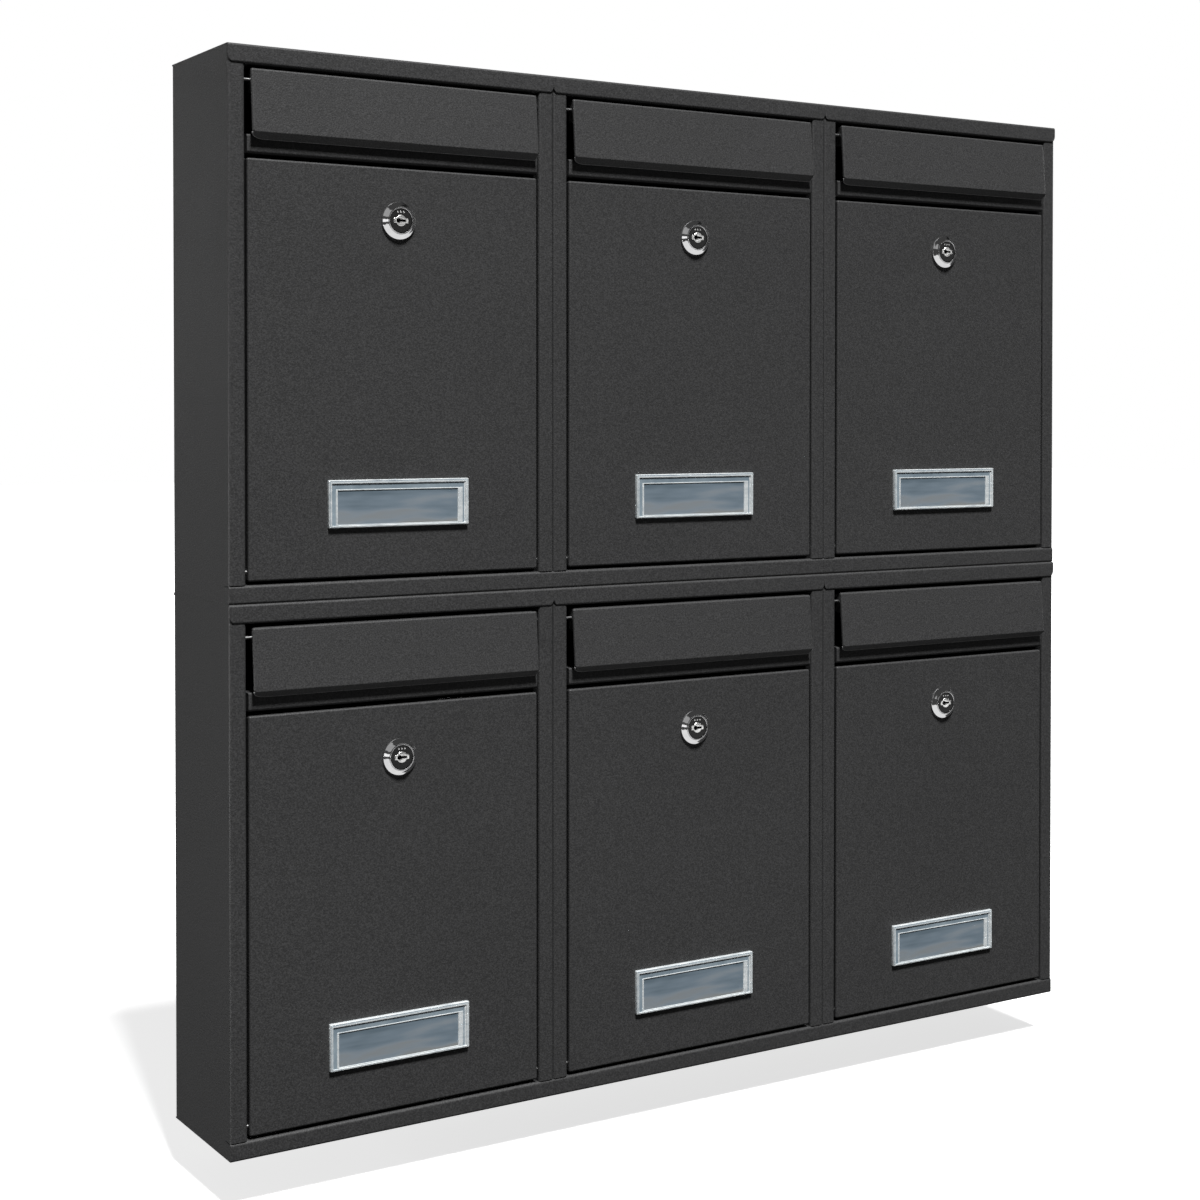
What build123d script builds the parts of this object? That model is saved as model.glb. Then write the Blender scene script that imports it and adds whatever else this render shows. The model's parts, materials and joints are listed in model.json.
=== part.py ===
from build123d import *
import os

# Bank of six wall letterboxes, three columns by two rows, bolted together.
# Millimetres. +X right, +Z up, the fronts face -Y and the backs lie on the wall plane Y = 0.
# The origin is the centre of the whole back plane.

COLUMNS = ("left", "middle", "right")
ROWS = ("lower", "upper")

# One box
BOX_W, BOX_H, BOX_D = 215.0, 320.0, 90.0
SHEET = 0.8
BODY_D = BOX_D - SHEET          # the top cover's flange stands one sheet in front of the body
FLANGE = 10.4                   # width of the side flanges
RETURN = 7.0                    # depth of the folds behind the flanges
BEND = 1.5                      # outside radius of the outer bends
SOFT_BEND = 1.8                 # outside radius of the bends around the opening
COVER_FLANGE = 11.2
COVER_CORNER = 5.0
PAN_FLANGE = 10.8
JOINT_GAP = 0.3                 # between the side flanges and the bottom flange

# Door, hinged at its lower edge
DOOR_X0, DOOR_X1 = 11.7, 203.3
DOOR_Z0, DOOR_Z1 = 12.8, 255.5
DOOR_DEPTH = 9.0
DOOR_BEND = 1.3
DOOR_PIN_Y, DOOR_PIN_Z, DOOR_PIN_R = 3.6, 18.3, 1.1

# Letter flap, hinged near its upper edge and leaning out towards its lower edge
FLAP_X0, FLAP_X1 = 13.2, 201.8
FLAP_TOP_Z, FLAP_LOW_Z, LIP_Z = 306.4, 270.0, 266.3
FLAP_TOP_Y, FLAP_LOW_Y, LIP_Y = -2.6, -5.4, -1.0
FLAP_FOLD_Y = 6.4
FLAP_BEND = 1.2
FLAP_RETURN = 1.8               # depth of the narrow folds along the face's ends
EAR_INSET, EAR_H, EAR_CORNER = 1.8, 14.0, 2.5
LIP_ROUNDING = 8.5              # length of the rounding at the lip's left end
FLAP_PIN_Y, FLAP_PIN_Z, FLAP_PIN_R = 3.6, 300.4, 1.0

# Rail between the flap and the door
RAIL_X0, RAIL_X1 = 11.6, 203.4
RAIL_Z0, RAIL_Z1 = 258.1, 269.0
RAIL_TOP_FOLD, RAIL_LOW_FOLD = 12.0, 12.8
RAIL_BEND, RAIL_LOW_BEND = 1.2, 1.8

# Hinge pins
PIN_FIT = 0.06                  # radial play of a pin in the piece that turns on it
PIN_SEAT = 0.02                 # radial room of a pin in the fold that holds it
PIN_HEAD_R, PIN_HEAD_L = 1.7, 1.5
FLAP_PIN_END, DOOR_PIN_END = 17.4, 14.9

# Cam lock
LOCK_X, LOCK_Z = 107.5, 224.1
BEZEL_R, BEZEL_RIM = 11.15, 1.3
RING_R, RING_Y, BEZEL_H = 8.1, -3.7, 4.1
BARREL_R, BARREL_END = 9.0, 14.0
HEAD_R, HEAD_END, HEAD_SETBACK = 7.3, -1.6, 0.2
PLUG_R, PLUG_FIT = 6.0, 0.05
KEY_W, KEY_H, KEY_DEPTH = 8.4, 1.5, 6.0
LOCK_NUT_AF, LOCK_NUT_H = 22.0, 3.5
CAM_T, CAM_W, CAM_L = 2.0, 10.0, 40.0
TENON = 6.0
CAM_SCREW_R, CAM_SCREW_H = 4.0, 1.8

# Name plate holder
PLATE_W, PLATE_H, PLATE_T = 92.6, 28.3, 2.4
PLATE_X, PLATE_Z = 107.5, 56.15
PLATE_CHAMFER = 0.9
PLATE_STEPS = ((2.0, 0.5), (6.2, 1.2))      # inset and depth of the two recesses
PEG_R, PEG_L, PEG_X = 1.5, 3.0, 35.0

# Wall screws: four holes in the back of each box
WALL_HOLE_R = 2.75
WALL_DX, WALL_DZ = 75.0, 120.0

# Bolts that join neighbouring boxes
BOLT_R, BOLT_HOLE_R = 2.0, 2.25
BOLT_HEAD_R, BOLT_HEAD_H = 3.8, 2.2
NUT_AF, NUT_H, BOLT_TAIL = 7.0, 3.2, 1.5
SIDE_BOLT_Y, SIDE_BOLT_Z = 45.0, (60.0, 200.0)
STACK_BOLT_Y, STACK_BOLT_X = 45.0, (47.5, 167.5)


def block(x0, x1, y0, y1, z0, z1):
    centre = Pos((x0 + x1) / 2, (y0 + y1) / 2, (z0 + z1) / 2)
    return centre * Box(x1 - x0, y1 - y0, z1 - z0)


def rod_x(radius, x0, x1, y, z):
    return Pos((x0 + x1) / 2, y, z) * Rot(0, 90, 0) * Cylinder(radius, x1 - x0)


def rod_y(radius, y0, y1, x, z):
    return Pos(x, (y0 + y1) / 2, z) * Rot(90, 0, 0) * Cylinder(radius, y1 - y0)


def rod_z(radius, z0, z1, x, y):
    return Pos(x, y, (z0 + z1) / 2) * Cylinder(radius, z1 - z0)


def bent_section(points, radii, side):
    """Section of a bent sheet whose outer face follows the points."""
    path = FilletPolyline(*points, radius=radii)
    return make_face(offset(path, amount=SHEET, side=side))


def along_x(section, x0, x1):
    """A section drawn as (Y, Z), drawn out from x0 to x1."""
    return Pos(x0, 0, 0) * extrude(Plane.YZ * section, x1 - x0)


def mirror_in_box(piece):
    return Pos(BOX_W, 0, 0) * mirror(piece, about=Plane.YZ)


def both_sides(piece):
    return [piece, mirror_in_box(piece)]


def in_box(piece, column, row):
    """Moves a piece from a box's own corner frame to its place in the bank."""
    x = (column - len(COLUMNS) / 2) * BOX_W
    z = (row - len(ROWS) / 2) * BOX_H
    return Pos(x, -BODY_D, z) * piece


# Body shell: back and sides folded from one sheet, with front flanges, and a bottom pan

def body_wrapper():
    points = [(FLANGE, RETURN), (FLANGE, 0), (0, 0), (0, BODY_D)]
    points += [(BOX_W - x, y) for x, y in reversed(points)]
    radii = [SOFT_BEND, BEND, BEND, BEND, BEND, SOFT_BEND]
    wrapper = extrude(bent_section(points, radii, Side.RIGHT), BOX_H - 2 * SHEET)
    wrapper = Pos(0, 0, SHEET) * wrapper
    low = PAN_FLANGE + JOINT_GAP
    wrapper -= block(-1, BOX_W + 1, -1, SHEET, -1, low)
    for notch in both_sides(block(SHEET, FLANGE + 1, -1, RETURN + 1, -1, low)):
        wrapper -= notch
    return wrapper


def bottom_pan():
    points = [(RETURN + 1, PAN_FLANGE), (0, PAN_FLANGE), (0, 0), (BODY_D, 0)]
    return along_x(bent_section(points, [SOFT_BEND, BEND], Side.LEFT), 0, BOX_W)


def body_shell():
    shell = body_wrapper() + bottom_pan()
    for x in (BOX_W / 2 - WALL_DX, BOX_W / 2 + WALL_DX):
        for z in (BOX_H / 2 - WALL_DZ, BOX_H / 2 + WALL_DZ):
            shell -= rod_y(WALL_HOLE_R, BODY_D - 2, BODY_D + 1, x, z)
    near, far = SHEET + 5, FLANGE + 0.5
    for radius, y, z in ((DOOR_PIN_R, DOOR_PIN_Y, DOOR_PIN_Z), (FLAP_PIN_R, FLAP_PIN_Y, FLAP_PIN_Z)):
        for hole in both_sides(rod_x(radius + PIN_SEAT, near, far, y, z)):
            shell -= hole
    return shell


def side_bolt_holes(x):
    holes = []
    for z in SIDE_BOLT_Z:
        holes.append(rod_x(BOLT_HOLE_R, x - 2 * SHEET, x + 2 * SHEET, SIDE_BOLT_Y, z))
    return holes


def stack_bolt_holes(z):
    holes = []
    for x in STACK_BOLT_X:
        holes.append(rod_z(BOLT_HOLE_R, z - 2 * SHEET, z + 2 * SHEET, x, STACK_BOLT_Y))
    return holes


def placed_shell(column, row):
    shell = body_shell()
    holes = []
    if column > 0:
        holes += side_bolt_holes(0)
    if column < len(COLUMNS) - 1:
        holes += side_bolt_holes(BOX_W)
    if row > 0:
        holes += stack_bolt_holes(0)
    for hole in holes:
        shell -= hole
    return in_box(shell, column, row)


# Top cover: its front flange laps over the side flanges and has rounded lower corners

def top_cover(row):
    z_low = BOX_H - COVER_FLANGE
    points = [(RETURN, z_low), (-SHEET, z_low), (-SHEET, BOX_H), (BODY_D, BOX_H)]
    cover = along_x(bent_section(points, [BEND, BEND], Side.RIGHT), 0, BOX_W)
    clear = FLANGE + 0.2
    corner = block(-1, COVER_CORNER, -SHEET - 1, 1, z_low - 1, z_low + COVER_CORNER)
    corner -= rod_y(COVER_CORNER, -SHEET - 1, 1, COVER_CORNER, z_low + COVER_CORNER)
    side = block(-1, clear, 0, RETURN + 1, z_low - 1, BOX_H - SHEET)
    for cut in both_sides(corner) + both_sides(side):
        cover -= cut
    if row < len(ROWS) - 1:
        for hole in stack_bolt_holes(BOX_H):
            cover -= hole
    return cover


# Sill rail: a channel across the opening, its end tabs welded behind the side flanges

def sill_rail():
    points = [(RAIL_LOW_FOLD, RAIL_Z0), (0, RAIL_Z0), (0, RAIL_Z1), (RAIL_TOP_FOLD, RAIL_Z1)]
    rail = along_x(bent_section(points, [RAIL_LOW_BEND, RAIL_BEND], Side.RIGHT), RAIL_X0, RAIL_X1)
    y_tab = RETURN + SHEET
    end = block(RAIL_X0, RAIL_X0 + SHEET, SHEET / 2, y_tab, RAIL_Z0 + SHEET / 2, RAIL_Z1 - SHEET / 2)
    tab = block(SHEET, RAIL_X0 + SHEET, RETURN, y_tab, RAIL_Z0 + SHEET / 2, RAIL_Z1 - SHEET / 2)
    for piece in both_sides(end) + both_sides(tab):
        rail += piece
    return rail


# Letter flap

def flap_face_y(z):
    share = (FLAP_TOP_Z - z) / (FLAP_TOP_Z - FLAP_LOW_Z)
    return FLAP_TOP_Y + share * (FLAP_LOW_Y - FLAP_TOP_Y)


def flap_tray():
    """Leaning face with narrow folds along its ends, and the fold along its top."""
    z_top, z_low, y_back = FLAP_TOP_Z - SHEET, FLAP_LOW_Z - 1, FLAP_FOLD_Y + 1
    outline = [
        (FLAP_TOP_Y, FLAP_TOP_Z), (FLAP_FOLD_Y, FLAP_TOP_Z),
        (FLAP_FOLD_Y, FLAP_LOW_Z), (FLAP_LOW_Y, FLAP_LOW_Z),
    ]
    tray = along_x(make_face(Polyline(*outline, close=True)), FLAP_X0, FLAP_X1)
    tray = fillet(tray.faces().sort_by(Axis.Y)[0].edges().sort_by(Axis.Z)[1:], FLAP_BEND)
    hollow = [
        (flap_face_y(z_top) + SHEET, z_top), (y_back, z_top),
        (y_back, z_low), (flap_face_y(z_low) + SHEET, z_low),
    ]
    tray -= along_x(make_face(Polyline(*hollow, close=True)), FLAP_X0 + SHEET, FLAP_X1 - SHEET)
    behind = [
        (flap_face_y(FLAP_TOP_Z + 1) + FLAP_RETURN, FLAP_TOP_Z + 1), (y_back, FLAP_TOP_Z + 1),
        (y_back, z_low), (flap_face_y(z_low) + FLAP_RETURN, z_low),
    ]
    end = along_x(make_face(Polyline(*behind, close=True)), FLAP_X0 - 1, FLAP_X0 + EAR_INSET + FLAP_BEND)
    for cut in both_sides(end):
        tray -= cut
    return tray


def flap_ear():
    """Hinge ear that hangs from the end of the top fold, inside the end of the face."""
    x, front = FLAP_X0 + EAR_INSET, FLAP_TOP_Y + FLAP_RETURN
    points = [(x, FLAP_TOP_Z - EAR_H), (x, FLAP_TOP_Z), (x + 2 * FLAP_BEND, FLAP_TOP_Z)]
    section = bent_section(points, [FLAP_BEND], Side.RIGHT)
    ear = Pos(0, FLAP_FOLD_Y, 0) * extrude(Plane.XZ * section, FLAP_FOLD_Y - front)
    return fillet(ear.edges().filter_by(Axis.X).sort_by(Axis.Z)[:2], EAR_CORNER)


def flap_lip():
    """Lip bent back under the flap's lower edge, rounded at its left end."""
    run = Vector(LIP_Y - FLAP_LOW_Y, LIP_Z - FLAP_LOW_Z).normalized()
    rise = Vector(-run.Y, run.X) * SHEET
    inner_end = Vector(LIP_Y, LIP_Z) + rise
    back = (inner_end.X - (FLAP_LOW_Y + SHEET)) / run.X
    inner_start = inner_end - run * back
    outline = [(FLAP_LOW_Y, FLAP_LOW_Z), (LIP_Y, LIP_Z)]
    outline += [(inner_end.X, inner_end.Y), (inner_start.X, inner_start.Y)]
    lip = along_x(make_face(Polyline(*outline, close=True)), FLAP_X0, FLAP_X1)
    y0, y1 = FLAP_LOW_Y - 1, 1
    corner = block(FLAP_X0 - 1, FLAP_X0 + LIP_ROUNDING, y0, y1, LIP_Z - 1, FLAP_LOW_Z)
    rounding = extrude(Plane.XZ * Ellipse(LIP_ROUNDING, FLAP_LOW_Z - LIP_Z), y1 - y0)
    return lip - (corner - Pos(FLAP_X0 + LIP_ROUNDING, y1, FLAP_LOW_Z) * rounding)


def flap():
    piece = flap_tray() + flap_lip()
    for ear in both_sides(flap_ear()):
        piece += ear
    x = FLAP_X0 + EAR_INSET
    hole = rod_x(FLAP_PIN_R + PIN_FIT, x - 1, x + 2, FLAP_PIN_Y, FLAP_PIN_Z)
    for cut in both_sides(hole):
        piece -= cut
    return piece


# Door: a shallow tray with holes for the lock, the name plate and the hinge pins

def door():
    outer = block(DOOR_X0, DOOR_X1, 0, DOOR_DEPTH, DOOR_Z0, DOOR_Z1)
    outer = fillet(outer.edges().filter_by(lambda e: e.center().Y < DOOR_DEPTH - 0.1), DOOR_BEND)
    inner = block(DOOR_X0 + SHEET, DOOR_X1 - SHEET, SHEET, 2 * DOOR_DEPTH, DOOR_Z0 + SHEET, DOOR_Z1 - SHEET)
    inner_edges = inner.edges().filter_by(lambda e: e.center().Y < 2 * DOOR_DEPTH - 0.1)
    tray = outer - fillet(inner_edges, DOOR_BEND - SHEET)
    tray -= rod_y(BARREL_R + 0.1, -1, 2, LOCK_X, LOCK_Z)
    for x in (PLATE_X - PEG_X, PLATE_X + PEG_X):
        tray -= rod_y(PEG_R + 0.1, -1, 2, x, PLATE_Z)
    hole = rod_x(DOOR_PIN_R + PIN_FIT, DOOR_X0 - 1, DOOR_X0 + 2, DOOR_PIN_Y, DOOR_PIN_Z)
    for cut in both_sides(hole):
        tray -= cut
    return tray


# Cam lock

def lock_housing():
    """Conical bezel and barrel, with the hexagon nut that clamps them to the door."""
    cone = Cone(BEZEL_R, RING_R, -RING_Y - BEZEL_RIM)
    cone = Pos(LOCK_X, (RING_Y - BEZEL_RIM) / 2, LOCK_Z) * Rot(90, 0, 0) * cone
    housing = cone + rod_y(BEZEL_R, -BEZEL_RIM, 0, LOCK_X, LOCK_Z)
    housing += rod_y(RING_R - 0.1, -BEZEL_H, RING_Y, LOCK_X, LOCK_Z)
    housing += rod_y(BARREL_R, 0, BARREL_END, LOCK_X, LOCK_Z)
    housing -= rod_y(PLUG_R + PLUG_FIT, -BEZEL_H - 1, BARREL_END + 1, LOCK_X, LOCK_Z)
    housing -= rod_y(HEAD_R + PLUG_FIT, -BEZEL_H - 1, HEAD_END + PLUG_FIT, LOCK_X, LOCK_Z)
    nut = extrude(RegularPolygon(LOCK_NUT_AF / 2, 6, major_radius=False), LOCK_NUT_H)
    nut = Pos(LOCK_X, SHEET + LOCK_NUT_H, LOCK_Z) * Rot(90, 0, 0) * nut
    nut -= rod_y(BARREL_R + PIN_SEAT, 0, BARREL_END, LOCK_X, LOCK_Z)
    return Compound(children=[housing, nut])


def lock_plug():
    """Turning core: a round head in the bezel, the key slot, and a square tenon for the cam."""
    front = -BEZEL_H + HEAD_SETBACK
    plug = rod_y(HEAD_R, front, HEAD_END, LOCK_X, LOCK_Z)
    plug += rod_y(PLUG_R, HEAD_END, BARREL_END, LOCK_X, LOCK_Z)
    half = TENON / 2
    tenon = block(LOCK_X - half, LOCK_X + half, BARREL_END, BARREL_END + CAM_T, LOCK_Z - half, LOCK_Z + half)
    slot = block(
        LOCK_X - KEY_W / 2, LOCK_X + KEY_W / 2, front - 1, front + KEY_DEPTH,
        LOCK_Z - KEY_H / 2, LOCK_Z + KEY_H / 2,
    )
    return plug + tenon - slot


def lock_cam():
    """Flat steel tongue, parked to the left, with the screw that holds it on the plug."""
    y0, y1 = BARREL_END, BARREL_END + CAM_T
    half = CAM_W / 2
    cam = block(LOCK_X - CAM_L + half, LOCK_X, y0, y1, LOCK_Z - half, LOCK_Z + half)
    cam += rod_y(half, y0, y1, LOCK_X - CAM_L + half, LOCK_Z)
    cam += rod_y(HEAD_R, y0, y1, LOCK_X, LOCK_Z)
    hole = TENON / 2 + PIN_SEAT
    cam -= block(LOCK_X - hole, LOCK_X + hole, y0 - 1, y1 + 1, LOCK_Z - hole, LOCK_Z + hole)
    screw = rod_y(CAM_SCREW_R, y1, y1 + CAM_SCREW_H, LOCK_X, LOCK_Z)
    return Compound(children=[cam, screw])


# Name plate holder: a clear moulding with a stepped window and two pegs

def name_plate():
    x0, x1 = PLATE_X - PLATE_W / 2, PLATE_X + PLATE_W / 2
    z0, z1 = PLATE_Z - PLATE_H / 2, PLATE_Z + PLATE_H / 2
    plate = block(x0, x1, -PLATE_T, 0, z0, z1)
    plate = chamfer(plate.faces().sort_by(Axis.Y)[0].edges(), PLATE_CHAMFER)
    for inset, depth in PLATE_STEPS:
        rise = min(inset, PLATE_H / 4)
        plate -= block(x0 + inset, x1 - inset, -PLATE_T - 1, -PLATE_T + depth, z0 + rise, z1 - rise)
    for x in (PLATE_X - PEG_X, PLATE_X + PEG_X):
        plate += rod_y(PEG_R, 0, PEG_L, x, PLATE_Z)
    return plate


# Hinge pins and joining bolts, each kind a group of separate solids

def hinge_pin(radius, y, z, end):
    """Headed pin held in the fold behind a side flange."""
    inner_face = FLANGE - SHEET
    pin = rod_x(PIN_HEAD_R, inner_face - PIN_HEAD_L, inner_face, y, z)
    return pin + rod_x(radius, inner_face, end, y, z)


def hinge_pins(radius, y, z, end):
    pins = []
    for column in range(len(COLUMNS)):
        for row in range(len(ROWS)):
            pins += [in_box(pin, column, row) for pin in both_sides(hinge_pin(radius, y, z, end))]
    return Compound(children=pins)


def bolt():
    """Bolt along +Z with its head below a pair of sheets that meet at Z = 0."""
    head = Pos(0, 0, -SHEET - BOLT_HEAD_H / 2) * Cylinder(BOLT_HEAD_R, BOLT_HEAD_H)
    head = fillet(head.edges().sort_by(Axis.Z)[0], BOLT_HEAD_H / 2)
    return head + rod_z(BOLT_R, -SHEET, SHEET + NUT_H + BOLT_TAIL, 0, 0)


def nut():
    body = Pos(0, 0, SHEET) * extrude(RegularPolygon(NUT_AF / 2, 6, major_radius=False), NUT_H)
    return body - rod_z(BOLT_R + PIN_SEAT, 0, SHEET + NUT_H + 1, 0, 0)


def at_joints(piece):
    """Copies a bolt or nut to every joint between neighbouring boxes."""
    copies = []
    for row in range(len(ROWS)):
        for column in range(1, len(COLUMNS)):
            for z in SIDE_BOLT_Z:
                copies.append(in_box(Pos(0, SIDE_BOLT_Y, z) * Rot(0, 90, 0) * piece, column, row))
    for column in range(len(COLUMNS)):
        for row in range(1, len(ROWS)):
            for x in STACK_BOLT_X:
                copies.append(in_box(Pos(x, STACK_BOLT_Y, 0) * piece, column, row))
    return Compound(children=copies)


def save(piece, name):
    export_step(piece, f"parts/{name}.step")


os.makedirs("parts", exist_ok=True)
flap_piece, door_piece, rail_piece = flap(), door(), sill_rail()
housing_piece, plug_piece, cam_piece, plate_piece = lock_housing(), lock_plug(), lock_cam(), name_plate()
for column, column_name in enumerate(COLUMNS):
    for row, row_name in enumerate(ROWS):
        box_name = f"{row_name}_{column_name}"
        save(placed_shell(column, row), f"{box_name}_body_shell")
        save(in_box(top_cover(row), column, row), f"{box_name}_top_cover")
        save(in_box(rail_piece, column, row), f"{box_name}_sill_rail")
        save(in_box(flap_piece, column, row), f"{box_name}_letter_flap")
        save(in_box(door_piece, column, row), f"{box_name}_door")
        save(in_box(housing_piece, column, row), f"{box_name}_lock_housing")
        save(in_box(plug_piece, column, row), f"{box_name}_lock_plug")
        save(in_box(cam_piece, column, row), f"{box_name}_lock_cam")
        save(in_box(plate_piece, column, row), f"{box_name}_name_plate")
save(hinge_pins(FLAP_PIN_R, FLAP_PIN_Y, FLAP_PIN_Z, FLAP_PIN_END), "flap_hinge_pins")
save(hinge_pins(DOOR_PIN_R, DOOR_PIN_Y, DOOR_PIN_Z, DOOR_PIN_END), "door_hinge_pins")
save(at_joints(bolt()), "joining_bolts")
save(at_joints(nut()), "joining_nuts")
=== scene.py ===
"""Looks of the letterbox bank: sheet metal, locks, name plates, finishes, light and camera."""

import json
import math

import bmesh
import bpy
from mathutils import Euler, Matrix, Vector

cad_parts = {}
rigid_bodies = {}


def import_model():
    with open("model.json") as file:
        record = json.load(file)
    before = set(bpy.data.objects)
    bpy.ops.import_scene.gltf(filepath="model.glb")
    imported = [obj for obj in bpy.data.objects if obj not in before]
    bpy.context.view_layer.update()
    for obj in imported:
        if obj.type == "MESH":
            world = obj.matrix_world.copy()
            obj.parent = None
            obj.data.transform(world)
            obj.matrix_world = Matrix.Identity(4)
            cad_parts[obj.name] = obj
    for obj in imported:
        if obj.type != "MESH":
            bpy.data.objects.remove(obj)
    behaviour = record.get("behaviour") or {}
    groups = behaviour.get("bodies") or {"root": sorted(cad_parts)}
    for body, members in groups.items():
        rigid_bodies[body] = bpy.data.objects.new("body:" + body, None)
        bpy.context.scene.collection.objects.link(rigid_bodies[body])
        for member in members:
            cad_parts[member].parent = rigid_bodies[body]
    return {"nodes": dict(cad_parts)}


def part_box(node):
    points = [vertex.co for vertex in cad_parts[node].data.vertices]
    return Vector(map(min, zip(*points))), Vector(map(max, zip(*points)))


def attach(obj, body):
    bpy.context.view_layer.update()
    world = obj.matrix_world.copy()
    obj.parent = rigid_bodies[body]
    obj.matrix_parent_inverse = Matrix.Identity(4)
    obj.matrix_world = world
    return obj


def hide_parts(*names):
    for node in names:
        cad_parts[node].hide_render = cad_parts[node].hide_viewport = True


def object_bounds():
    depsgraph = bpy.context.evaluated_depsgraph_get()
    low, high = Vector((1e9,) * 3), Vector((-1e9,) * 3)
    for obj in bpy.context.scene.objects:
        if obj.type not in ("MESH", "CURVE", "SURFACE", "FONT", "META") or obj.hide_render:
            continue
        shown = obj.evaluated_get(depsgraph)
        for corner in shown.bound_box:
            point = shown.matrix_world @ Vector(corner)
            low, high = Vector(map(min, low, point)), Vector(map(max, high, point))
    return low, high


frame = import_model()
cad_low, cad_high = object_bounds()

COLUMNS = ("left", "middle", "right")
ROWS = ("upper", "lower")
BOXES = [f"{row}_{column}" for row in ROWS for column in COLUMNS]
FIRST = BOXES[0]

MM = 0.001
BOX_W, BOX_D, BOX_H = 215.0, 89.2, 320.0
SHEET = 0.8
EDGE = 0.14                     # rounding of cut sheet edges
SEAM = 0.0005                   # the ends of a closed profile are joined within this
WELD = 0.02                     # corners closer than this become one after a cut
HAIR = 0.001                    # what a cut leaves or oversteps, so that no two faces coincide
ARC = 6                         # steps in a bend
TURN = 96                       # steps around a turned part

# Folds of the shell, the cover and the rail
FLANGE, FLANGE_FOLD = 10.4, 7.0
BEND, SOFT_BEND, RAIL_BEND, RAIL_LOW_BEND, TAB_BEND = 1.5, 1.8, 1.2, 1.8, 0.5
COVER_FLANGE, COVER_CORNER, COVER_GAP = 11.2, 5.0, 0.2
PAN_FLANGE, JOINT_GAP, CORNER_GAP = 10.8, 0.1, 0.15
RAIL_TOP_FOLD, RAIL_LOW_FOLD, RAIL_END = 12.0, 12.8, 11.6
WALL_HOLE_R, WALL_HOLE_X, WALL_HOLE_Z = 2.75, 75.0, 120.0

# Door and flap
DOOR_BEND, FLAP_BEND = 1.3, 1.2
FLAP_TOP_Y, FLAP_LOW_Z, FLAP_RETURN = -2.6, 270.0, 1.8
EAR_INSET, EAR_H, EAR_CORNER = 1.8, 14.0, 2.5
LIP_Y, LIP_START, LIP_BEND, LIP_BEAD_R = -1.0, 0.6, 0.7, 0.46
LIP_INSET, LIP_HIDDEN_INSET, LIP_LIFT = 0.12, 1.1, 0.015
LIP_LEFT_R, LIP_RIGHT_R = 8.5, 0.6

# Lock
LOCK_X, LOCK_Z = 107.5, 224.1
BEZEL_R, BARREL_R, BARREL_END = 11.15, 9.0, 14.0
THREAD_PITCH, THREAD_DEPTH = 1.0, 0.45
NUT_ACROSS, NUT_H = 22.0, 3.5
FACE_R, FACE_Y, PLUG_R, BORE_R = 7.25, -3.6, 6.0, 6.05
KEY_W, KEY_H, KEY_ROUND_R, KEY_ROUND_X = 6.2, 1.4, 1.45, -1.8
CAM_L, CAM_W, CAM_T, CAM_EYE_R = 40.0, 10.0, 2.0, 7.3

# Name plate
PLATE_BACK = -0.02
CARD_Y, CARD_T, CARD_BOW = -1.35, 0.22, 0.12
PEG_X = 35.0

FLOOR_GAP = 0.03                # in metres: the bank hangs clear of the floor, so its lowest doors can open


def local_box(node):
    """Lowest and highest corner of a CAD node, in millimetres from its box's front lower left corner."""
    low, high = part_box(node)
    name = "_".join(node.split("_")[:2])
    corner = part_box(f"{name}_body_shell")[0]
    return (low - corner) / MM, (high - corner) / MM


DOOR_LOW, DOOR_HIGH = local_box(f"{FIRST}_door")
FLAP_LOW, FLAP_HIGH = local_box(f"{FIRST}_letter_flap")
RAIL_LOW, RAIL_HIGH = local_box(f"{FIRST}_sill_rail")
PLATE_LOW, PLATE_HIGH = local_box(f"{FIRST}_name_plate")


# ---------------------------------------------------------------- materials

def new_material(name):
    material = bpy.data.materials.new(name)
    material.use_nodes = True
    nodes, links = material.node_tree.nodes, material.node_tree.links
    shader = nodes["Principled BSDF"]
    return material, nodes, links, shader


def noise_of(nodes, links, coordinate, scale, detail=2.0, roughness=0.5):
    noise = nodes.new("ShaderNodeTexNoise")
    noise.inputs["Scale"].default_value = scale
    noise.inputs["Detail"].default_value = detail
    noise.inputs["Roughness"].default_value = roughness
    links.new(coordinate, noise.inputs["Vector"])
    return noise


def ramp_of(nodes, links, value, stops):
    ramp = nodes.new("ShaderNodeValToRGB")
    elements = ramp.color_ramp.elements
    while len(elements) < len(stops):
        elements.new(0.5)
    for element, (position, colour) in zip(elements, stops):
        element.position = position
        element.color = (*colour, 1.0)
    links.new(value, ramp.inputs["Fac"])
    return ramp


def range_of(nodes, links, value, low, high):
    spread = nodes.new("ShaderNodeMapRange")
    spread.inputs["To Min"].default_value = low
    spread.inputs["To Max"].default_value = high
    links.new(value, spread.inputs["Value"])
    return spread


def bump_of(nodes, links, height, distance, strength, normal=None):
    bump = nodes.new("ShaderNodeBump")
    bump.inputs["Distance"].default_value = distance
    bump.inputs["Strength"].default_value = strength
    links.new(height, bump.inputs["Height"])
    if normal is not None:
        links.new(normal, bump.inputs["Normal"])
    return bump


def colour_and_roughness(nodes, links, shader, value, stops, low, high):
    """Lets one texture drive both the colour and the roughness."""
    tint = ramp_of(nodes, links, value, stops)
    links.new(tint.outputs["Color"], shader.inputs["Base Color"])
    rough = range_of(nodes, links, value, low, high)
    links.new(rough.outputs["Result"], shader.inputs["Roughness"])


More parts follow.
